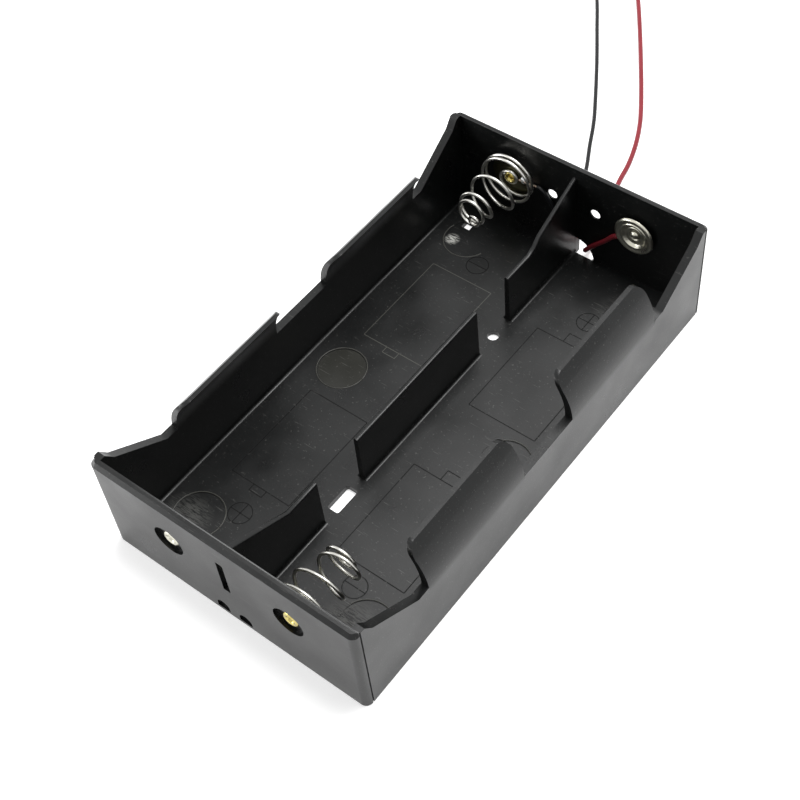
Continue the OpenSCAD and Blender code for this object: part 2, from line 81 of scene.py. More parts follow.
def place_camera(azimuth, elevation, roll, lens, place, shift):
    """Camera at a place, looking down its own back axis, which the two angles give, turned by roll."""
    a, e, r = (math.radians(angle) for angle in (azimuth, elevation, roll))
    back = np.array([math.sin(a) * math.cos(e), -math.cos(a) * math.cos(e), math.sin(e)])
    side, top = level_axes(back)
    right = math.cos(r) * side + math.sin(r) * top
    up = math.cos(r) * top - math.sin(r) * side
    data = bpy.data.cameras.new("camera")
    data.sensor_width = 36
    data.lens = lens
    data.shift_x, data.shift_y = shift
    data.clip_start = 0.01
    camera = bpy.data.objects.new("camera", data)
    set_up(camera, right, up, back, place)
    bpy.context.scene.camera = camera


# The main view, from above the near right corner
place_camera(
    azimuth=42.22, elevation=52.51, roll=-6.08, lens=65.99,
    place=(0.14147, -0.15466, 0.28152), shift=(-0.0287, -0.0048),
)


# ---------------------------------------------------------------- materials

PLASTIC_IOR = 1.53
# How much of its mirror-like share each plastic shows, where 0.5 is the share that its IOR gives
ABS_SHEEN = 0.3
PVC_SHEEN = 0.25
# Low sheen for the engraved lines, so that they stay dark as painted shade in their grooves
GROOVE_SHADE_SHEEN = 0.12
# How far specks and scratches whiten the plastic
MARK_STRENGTH = 0.16


def linear(hex_colour):
    """Hex sRGB to linear RGBA: s / 12.92 up to s = 0.04045, and ((s + 0.055) / 1.055) ** 2.4 above it."""
    s = np.array([int(hex_colour[i:i + 2], 16) for i in (1, 3, 5)]) / 255
    rgb = np.where(s <= 0.04045, s / 12.92, ((s + 0.055) / 1.055) ** 2.4)
    return (*map(float, rgb), 1.0)


def add_node(tree, kind, links=None, **settings):
    """A node with its settings; links maps an input's name or number to a value or a node's output."""
    node = tree.nodes.new(kind)
    for key, value in settings.items():
        setattr(node, key, value)
    for key, value in (links or {}).items():
        if isinstance(value, bpy.types.NodeSocket):
            tree.links.new(value, node.inputs[key])
        else:
            node.inputs[key].default_value = value
    return node


def new_material(name):
    """A material, its node tree and Principled shader, and the place on the object that is shaded."""
    material = bpy.data.materials.new(name)
    material.use_nodes = True
    tree = material.node_tree
    spot = add_node(tree, "ShaderNodeTexCoord").outputs["Object"]
    return material, tree, tree.nodes["Principled BSDF"], spot


def blend(tree, factor, low, high):
    """Mix of two colours: low where the factor is nought, high where it is one."""
    return add_node(
        tree, "ShaderNodeMix", {"Factor": factor, "A": low, "B": high}, data_type="RGBA",
    ).outputs["Result"]


def combine(tree, operation, first, second):
    """One value from two, by the named operation of a Math node."""
    return add_node(tree, "ShaderNodeMath", {0: first, 1: second}, operation=operation).outputs[0]


def noise(tree, spot, size, detail=2.0, rough=0.5):
    """Noise whose blobs are about size metres across, as a value round 0.5."""
    return add_node(
        tree, "ShaderNodeTexNoise",
        {"Vector": spot, "Scale": 1 / size, "Detail": detail, "Roughness": rough},
    ).outputs["Fac"]


def remap(tree, value, low, high, to_low, to_high):
    """Straight-line change of range, clamped at both ends."""
    return add_node(
        tree, "ShaderNodeMapRange",
        {"Value": value, "From Min": low, "From Max": high, "To Min": to_low, "To Max": to_high},
    ).outputs["Result"]


def bump(tree, shader, height, depth):
    """Bump of a height value that runs from 0 to 1, depth metres deep."""
    relief = add_node(tree, "ShaderNodeBump", {"Height": height, "Distance": depth, "Strength": 1.0})
    tree.links.new(relief.outputs["Normal"], shader.inputs["Normal"])


def scratches(tree, spot, angle, length, width, low=0.74, high=0.80):
    """Fine straight scratches at an angle: noise drawn out along one direction, kept where it peaks."""
    turned_spot = add_node(
        tree, "ShaderNodeMapping",
        {
            "Vector": spot, "Rotation": (0, 0, math.radians(angle)),
            "Scale": (1 / length, 1 / width, 1 / width),
        },
    ).outputs["Vector"]
    peaks = add_node(tree, "ShaderNodeTexNoise", {"Vector": turned_spot, "Scale": 1.0, "Detail": 1.0})
    return remap(tree, peaks.outputs["Fac"], low, high, 0, 1)


def rubbed(tree, spot, place, reach):
    """Crossed pale streaks that thin out with distance from one place on the floor."""
    away = add_node(tree, "ShaderNodeVectorMath", {0: spot, 1: place}, operation="DISTANCE").outputs["Value"]
    near = remap(tree, away, 0.35 * reach, reach, 1, 0)
    first, second, third = (
        scratches(tree, spot, angle, 2.4 * MM, 0.35 * MM, 0.5, 0.62) for angle in (20, 75, -35)
    )
    streaks = combine(tree, "MAXIMUM", combine(tree, "MAXIMUM", first, second), third)
    return combine(tree, "MULTIPLY", near, streaks)


def moulded_abs(name, dark, light, smooth, rough, grain_depth, patches=(), sheen=ABS_SHEEN):
    """Black ABS from a spark-eroded mould: fine even grain, pale specks, faint scratches and a low sheen."""
    material, tree, shader, spot = new_material(name)
    cloud = noise(tree, spot, 14 * MM, detail=3)
    grain = noise(tree, spot, 0.4 * MM, detail=2)
    marks = remap(tree, noise(tree, spot, 0.6 * MM, detail=1), 0.68, 0.8, 0, 1)
    for angle, length in ((25, 6), (-40, 5), (80, 7), (130, 5)):
        marks = combine(tree, "MAXIMUM", marks, scratches(tree, spot, angle, length * MM, 0.3 * MM))
    colour = blend(tree, cloud, linear(dark), linear(light))
    colour = blend(tree, remap(tree, marks, 0, 1, 0, MARK_STRENGTH), colour, linear("#8c8c88"))
    for place, reach, strength in patches:
        rub = remap(tree, rubbed(tree, spot, place, reach), 0, 1, 0, strength)
        colour = blend(tree, rub, colour, linear("#c4c4be"))
    tree.links.new(colour, shader.inputs["Base Color"])
    tree.links.new(remap(tree, cloud, 0.3, 0.7, smooth, rough), shader.inputs["Roughness"])
    shader.inputs["IOR"].default_value = PLASTIC_IOR
    shader.inputs["Specular IOR Level"].default_value = sheen
    bump(tree, shader, grain, grain_depth)
    return material


def nickel(name, hex_colour, roughness):
    """Nickel plating over steel: a warm grey metal whose polish changes slowly along it."""
    material, tree, shader, spot = new_material(name)
    shader.inputs["Base Color"].default_value = linear(hex_colour)
    shader.inputs["Metallic"].default_value = 1.0
    smear = noise(tree, spot, 4 * MM)
    polish = remap(tree, smear, 0.3, 0.7, roughness * 0.85, roughness * 1.15)
    tree.links.new(polish, shader.inputs["Roughness"])
    return material


def brass():
    """Rolled brass, a warm yellow metal, slightly dulled by handling."""
    material, tree, shader, spot = new_material("rolled_brass")
    shader.inputs["Metallic"].default_value = 1.0
    stain = noise(tree, spot, 0.9 * MM, detail=3)
    tree.links.new(blend(tree, stain, linear("#9b8a45"), linear("#d8cb88")), shader.inputs["Base Color"])
    shader.inputs["Roughness"].default_value = 0.25
    return material


def solder():
    """Tin solder: a pale grey metal that froze with a satin skin."""
    material, tree, shader, spot = new_material("tin_solder_reflowed")
    shader.inputs["Base Color"].default_value = linear("#d2d4d4")
    shader.inputs["Metallic"].default_value = 1.0
    shader.inputs["Roughness"].default_value = 0.32
    bump(tree, shader, noise(tree, spot, 0.4 * MM, detail=3), 0.02 * MM)
    return material


def strands():
    """Tinned copper strand: a bright pale metal with the copper just showing."""
    material, tree, shader, spot = new_material("tinned_copper_strand")
    shader.inputs["Metallic"].default_value = 1.0
    wear = noise(tree, spot, 0.6 * MM)
    tree.links.new(blend(tree, wear, linear("#c9c4bb"), linear("#cfa98a")), shader.inputs["Base Color"])
    shader.inputs["Roughness"].default_value = 0.28
    return material


def pvc(name, hex_colour, pale_colour):
    """Extruded PVC insulation: smooth and softly glossy, with slow waves from the die."""
    material, tree, shader, spot = new_material(name)
    tone = noise(tree, spot, 9 * MM, detail=2)
    tree.links.new(blend(tree, tone, linear(hex_colour), linear(pale_colour)), shader.inputs["Base Color"])
    shader.inputs["Roughness"].default_value = 0.36
    shader.inputs["IOR"].default_value = PLASTIC_IOR
    shader.inputs["Specular IOR Level"].default_value = PVC_SHEEN
    bump(tree, shader, noise(tree, spot, 2.5 * MM), 0.02 * MM)
    return material


# Where use has rubbed the floor: middle of the patch, how far it reaches, and how pale it is
RUBBED_PATCHES = (
    ((-28 * MM, 50 * MM, FLOOR_TOP), 2.2 * MM, 0.85),
    ((-27 * MM, -54 * MM, FLOOR_TOP), 7 * MM, 0.08),
    ((22 * MM, -56 * MM, FLOOR_TOP), 9 * MM, 0.1),
    ((24 * MM, 52 * MM, FLOOR_TOP), 9 * MM, 0.06),
)
BLACK_ABS = moulded_abs(
    "black_abs_spark_eroded_mould", "#070808", "#131414", 0.26, 0.38, 0.012 * MM, RUBBED_PATCHES,
)
# Paler than the floor's plastic: the colour paints the sheen of the polished ejector face
SHEEN_PAINTED_ABS = moulded_abs("black_abs_pin_polished_painted_sheen", "#171714", "#2c2c27", 0.26, 0.34, 0.012 * MM)
# Paler plastic as painted highlight, on the lit edges of the ejector rings and of one cell's outline
HIGHLIGHT_PAINTED_ABS = moulded_abs("black_abs_painted_highlight", "#30302d", "#484843", 0.34, 0.42, 0.01 * MM)
# Near-black and dull: paints the shade inside the engraved lines, which are flat ribbons on the floor
GROOVE_SHADE_ABS = moulded_abs(
    "black_abs_engraved_line_painted_shade", "#050505", "#0a0a0a", 0.55, 0.6, 0.01 * MM, sheen=GROOVE_SHADE_SHEEN,
)
SPRING_NICKEL = nickel("satin_nickel_on_drawn_wire", "#cdccc6", 0.3)
SHEET_NICKEL = nickel("bright_nickel_on_pressed_steel", "#c6c4b6", 0.32)
DULL_NICKEL = nickel("dull_nickel_on_flat_plate", "#55533f", 0.32)
BRASS = brass()
SOLDER = solder()
STRAND = strands()
RED_PVC = pvc("red_pvc_extruded", "#7c1f28", "#8b2f38")
BLACK_PVC = pvc("black_pvc_extruded", "#0d0e10", "#151618")


# ---------------------------------------------------------------- meshes

def add_object(name, mesh, material):
    """An object at the origin for a mesh that is already in place, riding on the holder."""
    piece = bpy.data.objects.new(name, mesh)
    bpy.context.scene.collection.objects.link(piece)
    mesh.materials.append(material)
    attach(piece, BODY)
    return piece


def shade_smooth(mesh):
    """Smooth shading on every face."""
    mesh.polygons.foreach_set("use_smooth", np.ones(len(mesh.polygons), bool))


def mesh_from(name, points, faces):
    """A smooth-shaded mesh from arrays of corners and of faces, with its faces turned outwards."""
    mesh = bpy.data.meshes.new(name)
    corners = np.asarray(points, float).tolist()
    mesh.from_pydata(corners, [], [np.asarray(face).tolist() for face in faces])
    work = bmesh.new()
    work.from_mesh(mesh)
    bmesh.ops.recalc_face_normals(work, faces=work.faces)
    work.to_mesh(mesh)
    work.free()
    shade_smooth(mesh)
    return mesh


def grid_faces(rows, columns, wrap_rows=False):
    """Four-cornered faces of a grid of points, row after row, whose columns close on themselves."""
    i = np.arange(rows if wrap_rows else rows - 1)
    i, k = (a.ravel() for a in np.meshgrid(i, np.arange(columns), indexing="ij"))
    down = (i + 1) % rows
    across = (k + 1) % columns
    return list(np.stack(
        [i * columns + k, i * columns + across, down * columns + across, down * columns + k], 1
    ))


def smooth_path(points, steps):
    """Catmull-Rom curve: between two points, the cubic whose slope at each is half its neighbours' span."""
    p = np.asarray(points, float)
    p = np.vstack([p[:1], p, p[-1:]])
    a, b, c, d = p[:-3, None], p[1:-2, None], p[2:-1, None], p[3:, None]
    t = (np.arange(steps) / steps)[None, :, None]
    curve = 0.5 * (
        2 * b + t * (c - a) + t**2 * (2 * a - 5 * b + 4 * c - d) + t**3 * (3 * b - a - 3 * c + d)
    )
    return np.vstack([curve.reshape(-1, 3), p[-2:-1]])


def across(path, side):
    """For each point of a path, two unit directions across it: heading x side, and that x heading."""
    heading = np.gradient(path, axis=0)
    heading /= np.linalg.norm(heading, axis=1)[:, None]
    first = np.cross(heading, side)
    first /= np.linalg.norm(first, axis=1)[:, None]
    return first, np.cross(first, heading)


def bar(name, path, radius, sides, side=UPWARDS):
    """Round bar with flat ends: path + radius (cos a first + sin a second), with a going right round."""
    first, second = across(path, side)
    turn = np.linspace(0, 2 * np.pi, sides, endpoint=False)[None, :, None]
    rings = path[:, None] + radius * (np.cos(turn) * first[:, None] + np.sin(turn) * second[:, None])
    ends = [np.arange(sides)[::-1], (len(path) - 1) * sides + np.arange(sides)]
    return mesh_from(name, rings.reshape(-1, 3), grid_faces(len(path), sides) + ends)


# ---------------------------------------------------------------- leads

# The routes of the leads, in millimetres, as in the part's source
RED_ROUTE = [
    (13.42, 63.8, 14.596), (12.162, 63.8, 13.779), (10, 63.8, 11), (6.4, 63.8, 7), (4.2, 64, 4),
    (3.6, 66, 2.3), (3.2, 69, 1.1), (2.4, 73, 0.7), (0.6, 79, 0.7), (-1.8, 86, 0.7), (-3.8, 92.5, 0.7),
    (-5.3, 99.5, 0.7), (-8, 107.5, 0.7), (-12, 116, 0.7), (-18, 126, 0.7), (-25.4, 137.5, 0.7),
    (-32.8, 148.7, 0.7), (-40.7, 160.2, 0.7), (-49, 171.5, 0.7), (-58, 182, 0.7), (-67.5, 191.5, 0.7),
]
BLACK_ROUTE = [
    (-10.531, 63.8, 18.415), (-9.734, 63.8, 18.484), (-8.2, 63.8, 17.4), (-5.8, 63.8, 14.2),
    (-3.6, 63.8, 10.5), (-2.8, 63.8, 6.5), (-3, 64.2, 3.8), (-3.6, 66, 2.3), (-4.6, 69, 1),
    (-6.2, 73, 0.6), (-8.6, 79, 0.6), (-11.4, 86, 0.6), (-14.2, 92.5, 0.6), (-18.1, 99.9, 0.6),
    (-22.6, 108.8, 0.6), (-28.7, 119, 0.6), (-36, 130.7, 0.6), (-43.3, 141.9, 0.6), (-51, 153.6, 0.6),
    (-59.5, 165, 0.6), (-69, 175.5, 0.6), (-79.5, 184.5, 0.6),
]
RED_DIAMETER = 1.3 * MM
BLACK_DIAMETER = 1.1 * MM
STRAND_DIAMETER = 0.6 * MM
BARE_LENGTH = 5.9 * MM
# Twist of the strands, in diameters of the bundle for one turn
TWIST_PITCH = 5
# Share of their room that the outer strands fill, so that neighbours stay apart
STRAND_FILL = 0.98
STRAND_STEPS = 40
STRAND_SIDES = 8
# Steps between two points of a lead's route, and sides of its insulation
LEAD_STEPS = 8
LEAD_SIDES = 20


def twisted_end(name, start, along, length, diameter):
    """Seven strands: one straight, and six that wind round it, axis + 2 wire (cos a first + sin a second)."""
    along = along / np.linalg.norm(along)
    t = np.linspace(0, 1, STRAND_STEPS)
    axis = start + t[:, None] * length * along
    first, second = across(axis, UPWARDS)
    wire = diameter / 6
    parts = [bar(name, axis, wire, STRAND_SIDES)]
    for k in range(6):
        angle = (2 * np.pi * (k / 6 + t * length / (TWIST_PITCH * diameter)))[:, None]
        path = axis + 2 * wire * (np.cos(angle) * first + np.sin(angle) * second)
        parts.append(bar(name, path, wire * STRAND_FILL, STRAND_SIDES))
    return join(name, parts)


def join(name, parts):
    """One mesh from several, which are then deleted."""
    work = bmesh.new()
    for part in parts:
        work.from_mesh(part)
        bpy.data.meshes.remove(part)
    mesh = bpy.data.meshes.new(name)
    work.to_mesh(mesh)
    work.free()
    return mesh


def make_lead(colour, route, diameter, material):
    """One insulated lead with its bare end, laid along its route."""
    path = smooth_path(route, LEAD_STEPS) * MM
    name = f"{colour}_insulation"
    lead = add_object(name, bar(name, path, diameter / 2, LEAD_SIDES), material)
    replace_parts(lead, f"{colour}_lead")
    heading = path[-1] - path[-2]
    name = f"{colour}_bare_end"
    strands_mesh = twisted_end(name, path[-1], heading, BARE_LENGTH, STRAND_DIAMETER)
    end = add_object(name, strands_mesh, STRAND)
    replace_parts(end, f"{colour}_end")


make_lead("red", RED_ROUTE, RED_DIAMETER, RED_PVC)
make_lead("black", BLACK_ROUTE, BLACK_DIAMETER, BLACK_PVC)


# ---------------------------------------------------------------- contacts

# In millimetres: the thickness of the strip and tags under the contacts, that of the wall left at a recess,
# the radius of every shank, and the diameter of the springs' wire
STRIP = 0.3
WEB = 0.8
SHANK = 1.15
WIRE = 0.85


def middle(node):
    """Side position and height of the middle of a CAD node's box."""
    low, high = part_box(node)
    return (low[0] + high[0]) / 2, (low[2] + high[2]) / 2


SPRING_AT = {end: middle(f"eyelet_{end}") for end in ("far", "near")}
BUTTON_AT = {end: middle(f"button_{end}") for end in ("far", "near")}


def on_far_wall(points, x, z):
    """Points from a contact's centre, whose third number is the height above the lead wall's inner face."""
    p = np.asarray(points, float)
    return np.stack([x + p[..., 0], FAR_WALL - p[..., 2], z + p[..., 1]], -1)


def on_near_wall(points, x, z):
    """The same on the near wall, turned half round the upright axis."""
    p = np.asarray(points, float)
    return np.stack([x - p[..., 0], NEAR_WALL + p[..., 2], z + p[..., 1]], -1)


WALLS = {"far": on_far_wall, "near": on_near_wall}


def turned(name, profile, place, x, z, sides):
    """Body of revolution: (r cos a, r sin a, h) for each (r, h) of a closed outline, given in millimetres."""
    profile = np.asarray(profile, float) * MM
    turn = np.linspace(0, 2 * np.pi, sides, endpoint=False)
    radius = profile[:, :1]
    height = np.broadcast_to(profile[:, 1:], (len(profile), sides))
    points = np.stack([radius * np.cos(turn), radius * np.sin(turn), height], -1)
    faces = grid_faces(len(profile), sides, wrap_rows=True)
    return mesh_from(name, place(points, x, z).reshape(-1, 3), faces)


def arc(centre, radius, start, end, steps=8):
    """Points along an arc in the plane of an outline, from one angle to another, in degrees."""
    angle = np.radians(np.linspace(start, end, steps))
    return np.stack([centre[0] + radius * np.cos(angle), centre[1] + radius * np.sin(angle)], 1)


# Each row is a number of turns, whole at the right as seen from the bay, and then, in millimetres, the radius
# of the wire's centre line, its height above the seat, and how far its middle lies to the right and up.
# Use has bent each spring its own way.
SPRING_SHAPE = {
    "far": np.array([
        (-1.55, 1.75, 0.5, 0, 0), (-0.6, 1.75, 0.5, 0, 0), (-0.05, 6.95, 1.1, 0.2, 0.75),
        (1.25, 6.95, 2.85, 0.2, 0.65), (1.5, 6.9, 3.1, 0, 0.3), (1.75, 6.4, 5.0, -0.45, 0),
        (2, 6.0, 7.55, -0.6, -0.1), (2.25, 5.85, 8.1, -0.55, -0.2), (2.5, 5.65, 8.65, -0.5, -0.2),
        (2.75, 4.9, 11, -1.1, -0.2), (3, 4.35, 13.4, -1.35, -0.1), (3.25, 4.15, 13.95, -1.3, -0.1),
        (3.5, 4.15, 14.5, -1.25, 0), (3.75, 4.0, 15.6, -1, 0.3), (4, 3.8, 16.7, -0.75, 0.6),
        (4.25, 4.3, 17.1, -0.5, 0.7), (4.5, 3.3, 17.5, -0.2, 0.4), (5, 1.3, 18, 1.1, -0.4),
        (5.8, 1.3, 18, 1.1, -0.4),
    ]),
    "near": np.array([
        (-1.55, 1.75, 0.5, 0, 0), (-0.6, 1.75, 0.5, 0, 0), (-0.05, 6.4, 1.3, 0, -0.6),
        (1.25, 6.4, 2.66, 0, -0.6), (1.5, 6.4, 2.85, 1.0, 0.3), (1.75, 5.6, 5.0, 1.5, 0.5),
        (2, 4.7, 7.35, 1.6, 0.6), (2.25, 4.2, 8.2, 0, -0.2), (2.5, 4.4, 8.9, -0.8, -0.3),
        (2.75, 4.75, 10.6, -0.9, -0.25), (3, 5.6, 12.95, -1.0, -0.1), (3.25, 4.7, 14.15, -1.55, -0.1),
        (3.5, 4.0, 14.6, -1.2, 0.1), (3.75, 4.1, 15.2, -0.8, 0.35), (4, 4.2, 15.5, 0, 0.45),
        (4.25, 3.4, 15.7, -0.2, 0.2), (4.5, 2.9, 15.95, -0.1, 0), (5, 1.3, 16.6, 1.1, -0.6),
        (5.6, 1.3, 16.7, 1.1, -0.6),
    ]),
}


def contact_spring(end):
    """Wire along middle(t) + radius(t) (cos 2 pi t, sin 2 pi t), from the table's columns against turns t.

    A running mean over a few steps rounds the corners that straight lines between the rows leave.
    """
    # Steps in one turn of the wire, steps in the mean, and sides of the wire
    steps, blur, sides = 72, 13, 16
    shape = SPRING_SHAPE[end]
    t = np.arange(shape[0, 0], shape[-1, 0], 1 / steps)
    radius, height, right, up = (
        np.convolve(
            np.pad(np.interp(t, shape[:, 0], shape[:, k]), blur // 2, mode="edge"),
            np.ones(blur) / blur, mode="valid",
        )
        for k in (1, 2, 3, 4)
    )
    angle = 2 * np.pi * t
    path = np.stack([
        right + radius * np.cos(angle), up + radius * np.sin(angle), STRIP + height,
    ], 1) * MM
    name = f"wire_spring_{end}"
    mesh = bar(name, WALLS[end](path, *SPRING_AT[end]), WIRE / 2 * MM, sides, np.array([0, 1.0, 0]))
    spring = add_object(name, mesh, SPRING_NICKEL)
    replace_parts(spring, f"spring_{end}")
    seat = WALLS[end](np.array([0, 0, STRIP * MM]), *SPRING_AT[end])
    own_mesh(spring)


contact_spring("far")
contact_spring("near")


def rolled_tail(hole):
    """Outline of a shank's end rolled over in the recess behind the wall, from its hole outwards and back."""
    return [
        (hole, -WEB + 0.3), *arc((1.5, -WEB - 0.02), 0.7, 205, 355, 14),
        (2.2, -WEB), (1.3, -WEB), (SHANK, -WEB),
    ]


def eyelet(end):
    """Hollow eyelet: a bored shank, rolled over at the back and flared over the spring's hook in front."""
    hole = 0.65
    # How deep the flare presses into the wire
    bite = 0.13
    front = STRIP + WIRE - bite
    outline = rolled_tail(hole) + [
        (SHANK, front), (1.5, front + 0.02), *arc((1.45, front + 0.2), 0.2, -30, 110, 7),
        (1.1, front + 0.2), (0.8, front - 0.05), (hole, front - 0.3),
    ]
    mesh = turned(f"brass_eyelet_{end}", outline, WALLS[end], *SPRING_AT[end], 48)
    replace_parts(add_object(f"brass_eyelet_{end}", mesh, BRASS), f"eyelet_{end}")


def button(end):
    """Pressed cup: a dish for the rivet inside a raised ring, whose rim turns down with a rolled edge."""
    top, sheet = 1.5, 0.3
    outline = [
        (1.25, STRIP), (2.55, STRIP), (2.95, 0.45), (3.5, 0.9), (3.85, top - sheet - 0.1), (5.0, top - sheet),
        (5.18, top - 0.45), (5.24, top - 0.5), (5.42, top - 0.5), (5.5, top - 0.48),
        *arc((4.8, top - 0.7), 0.7, 12, 110, 12), *arc((4.1, top - 0.05), 0.3, 260, 200, 4),
        *arc((3.55, top - 0.35), 0.25, 60, 140, 5), (3.0, 0.8), *arc((2.55, 0.85), 0.25, 290, 200, 4),
        (1.25, STRIP + sheet),
    ]
    mesh = turned(f"pressed_button_{end}", outline, WALLS[end], *BUTTON_AT[end], 96)
    piece = add_object(f"pressed_button_{end}", mesh, SHEET_NICKEL)
    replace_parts(piece, f"button_{end}")


def rivet(end):
    """Solid rivet: a low domed head in the button's dish, a shank, and a tail rolled over at the back."""
    seat = 0.6
    head_r, head_h = 1.3, 0.8
    # Radius of the ball that the head is cut from
    ball = (head_r**2 + head_h**2) / (2 * head_h)
    head = arc((0, seat + head_h - ball), ball, math.degrees(math.acos(head_r / ball)), 89, 8)
    outline = [(0.02, -0.55)] + rolled_tail(0.6)[:-1] + [(SHANK, -WEB), (SHANK, seat), *head]
    mesh = turned(f"contact_rivet_{end}", outline, WALLS[end], *BUTTON_AT[end], 48)
    piece = add_object(f"contact_rivet_{end}", mesh, SHEET_NICKEL)
    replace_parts(piece, f"rivet_{end}")


eyelet("far")
eyelet("near")
for end in ("far", "near"):
    button(end)
    rivet(end)

# Flat strips, tags and solder keep their solids and take their finish here.
for node, finish in (
    ("jumper_strip", SHEET_NICKEL), ("tag_positive", SHEET_NICKEL), ("tag_negative", DULL_NICKEL),
    ("solder_positive", SOLDER), ("solder_negative", SOLDER), ("red_tail", STRAND), ("black_tail", STRAND),
):
    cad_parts[node].data.materials.clear()
    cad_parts[node].data.materials.append(finish)


# ---------------------------------------------------------------- tray

# The fins between the bays: half their thickness with room, a height under their lowest crest, and the
# rounding of their crests
FIN_HALF = 0.9 * MM
FIN_CREST_LOW = 16 * MM
FIN_ROUND = 0.4 * MM
CORNER_RADIUS = 1.8 * MM
# Chamfer of the corners' top edges, like the one that the end walls have
RIM_CHAMFER = 0.88 * MM
# Rounding of every other sharp edge, and the smallest angle that counts as sharp, in degrees
EDGE_ROUND = 0.22 * MM
SHARP_ANGLE = 38
SLACK = 0.05 * MM


def is_corner_rim(edge):
    """True on the round outer corners' top edges, where the end walls' chamfer runs out."""
    ends = [vert.co for vert in edge.verts]
    corner_low = TRAY_HIGH[1] - CORNER_RADIUS - SLACK
    if any(abs(end.z - TRAY_HIGH[2]) > SLACK or abs(end.y) < corner_low for end in ends):
        return False
    outer = [face for face in edge.link_faces if abs(face.normal.z) < 0.1]
    return len(outer) == 1 and outer[0].normal.x * ends[0].x + outer[0].normal.y * ends[0].y > 0


def is_crest(edge):
    """True on the long edges along the top of the fins between the bays."""
    first, second = (vert.co for vert in edge.verts)
    inside = all(abs(end.x) < FIN_HALF and end.z > FIN_CREST_LOW for end in (first, second))
    return inside and abs(first.x - second.x) < 0.2 * MM and edge.calc_length() > 1.5 * MM


def round_off(work, edges, offset, segments):
    """Cuts some edges back by an offset, round where there are several segments."""
    bmesh.ops.bevel(
        work, geom=edges, offset=offset, offset_type="OFFSET", segments=segments, profile=0.5, affect="EDGES",
    )


def visible_tray():
    """The tray's solid with its flat faces rejoined, its crests rounded and its sharp edges broken."""
    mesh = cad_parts["tray"].data.copy()
    mesh.name = "moulded_tray"
    work = bmesh.new()
    work.from_mesh(mesh)
    bmesh.ops.remove_doubles(work, verts=work.verts, dist=0.002 * MM)
    bmesh.ops.dissolve_limit(
        work, angle_limit=math.radians(0.5), verts=work.verts, edges=work.edges, delimit=set(),
    )
    round_off(work, [edge for edge in work.edges if is_crest(edge)], FIN_ROUND, 3)
    work.normal_update()
    round_off(work, [edge for edge in work.edges if is_corner_rim(edge)], RIM_CHAMFER, 1)
    work.to_mesh(mesh)
    work.free()
    mesh.materials.clear()
    tray = add_object("moulded_tray", mesh, BLACK_ABS)
    shade_smooth(mesh)
    mesh.update()
    edge = tray.modifiers.new("rounded_edges", "BEVEL")
    edge.width = EDGE_ROUND
    edge.segments = 2
    edge.limit_method = "ANGLE"
    edge.angle_limit = math.radians(SHARP_ANGLE)
    edge.miter_outer = "MITER_ARC"
    tray.modifiers.new("flat_faces", "WEIGHTED_NORMAL")
    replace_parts(tray, "tray")


visible_tray()


# ---------------------------------------------------------------- marks on the floor

# Height of a flat mark, which only has to clear the floor's own face, and depth of an ejector's face under it
MARK_TOP = FLOOR_TOP + 0.012 * MM
EJECTOR_DEPTH = 0.13 * MM
# In millimetres: how far the ejector pins stand from the tray's middle and from each other, the radius of the
# ring that each leaves and of its face, the radius of a polarity ring, and half the width of a cell's nub
EJECTOR_X = 24.6
EJECTOR_Y = 52
EJECTOR_RADIUS = 6.3
EJECTOR_FACE_RADIUS = 6.0
POLARITY_RADIUS = 2.9
NUB_HALF = 1.9


def ribbon(points, width, height):
    """Flat ribbon: point +- width / 2 across its heading. A closed line repeats its first point."""
    p = np.asarray(points, float)
    closed = np.allclose(p[0], p[-1])
    ahead = np.roll(p, -1, axis=0) - p
    heading = np.gradient(p, axis=0)
    if closed:
        heading[0] = heading[-1] = ahead[0] + ahead[-2]
    heading /= np.linalg.norm(heading, axis=1)[:, None]
    out = np.stack([-heading[:, 1], heading[:, 0]], 1) * width / 2
    corners = np.concatenate([p + out, p - out])
    corners = np.column_stack([corners, np.full(len(corners), height)])
    i = np.arange(len(p) - 1)
    return corners, np.stack([i, i + 1, len(p) + i + 1, len(p) + i], 1)


def circle(x, y, radius, start=0.0, end=360.0, steps=64):
    """Points round a circle in the floor's plane."""
    angle = np.radians(np.linspace(start, end, steps))
    return np.stack([x + radius * np.cos(angle), y + radius * np.sin(angle)], 1)


def flat_marks(name, lines, width, material):
    """One mesh of ribbons along several lines given in millimetres."""
    points, faces, count = [], [], 0
    for line in lines:
        corners, quads = ribbon(np.asarray(line, float) * MM, width * MM, MARK_TOP)
        points.append(corners)
        faces.append(count + quads)
        count += len(corners)
    mesh = bpy.data.meshes.new(name)
    mesh.from_pydata(np.vstack(points).tolist(), [], np.vstack(faces).tolist())
    add_object(name, mesh, material)


def torus(x, y, radius, wire, start=0.0, end=360.0):
    """Raised ring on the floor: a half-sunk round bar bent to a circle."""
    line = circle(x, y, radius, start, end, steps=96)
    path = np.column_stack([line, np.full(len(line), FLOOR_TOP / MM)]) * MM
    return bar("ring", path, wire / 2 * MM, sides=8)


def cell_outline(x_low, x_high, y_low, y_high, nub_y):
    """Outline of a cell seen from above, with the nub of its positive end, as separate straight lines."""
    middle_x = (x_low + x_high) / 2
    end_y = y_high if nub_y > 0 else y_low
    tip_y = end_y + nub_y
    nub_low, nub_high = middle_x - NUB_HALF, middle_x + NUB_HALF
    corners = [(x_low, y_low), (x_low, y_high), (x_high, y_high), (x_high, y_low), (x_low, y_low)]
    nub = [(nub_low, end_y), (nub_low, tip_y), (nub_high, tip_y), (nub_high, end_y)]
    return [corners[i:i + 2] for i in range(4)] + [nub[i:i + 2] for i in range(3)]


def polarity(x, y, positive):
    """A ring with a bar across the bay, and a second bar along it where the end is positive."""
    r = POLARITY_RADIUS
    lines = [circle(x, y, r), [(x - r, y), (x + r, y)]]
    return lines + ([[(x, y - r), (x, y + r)]] if positive else [])


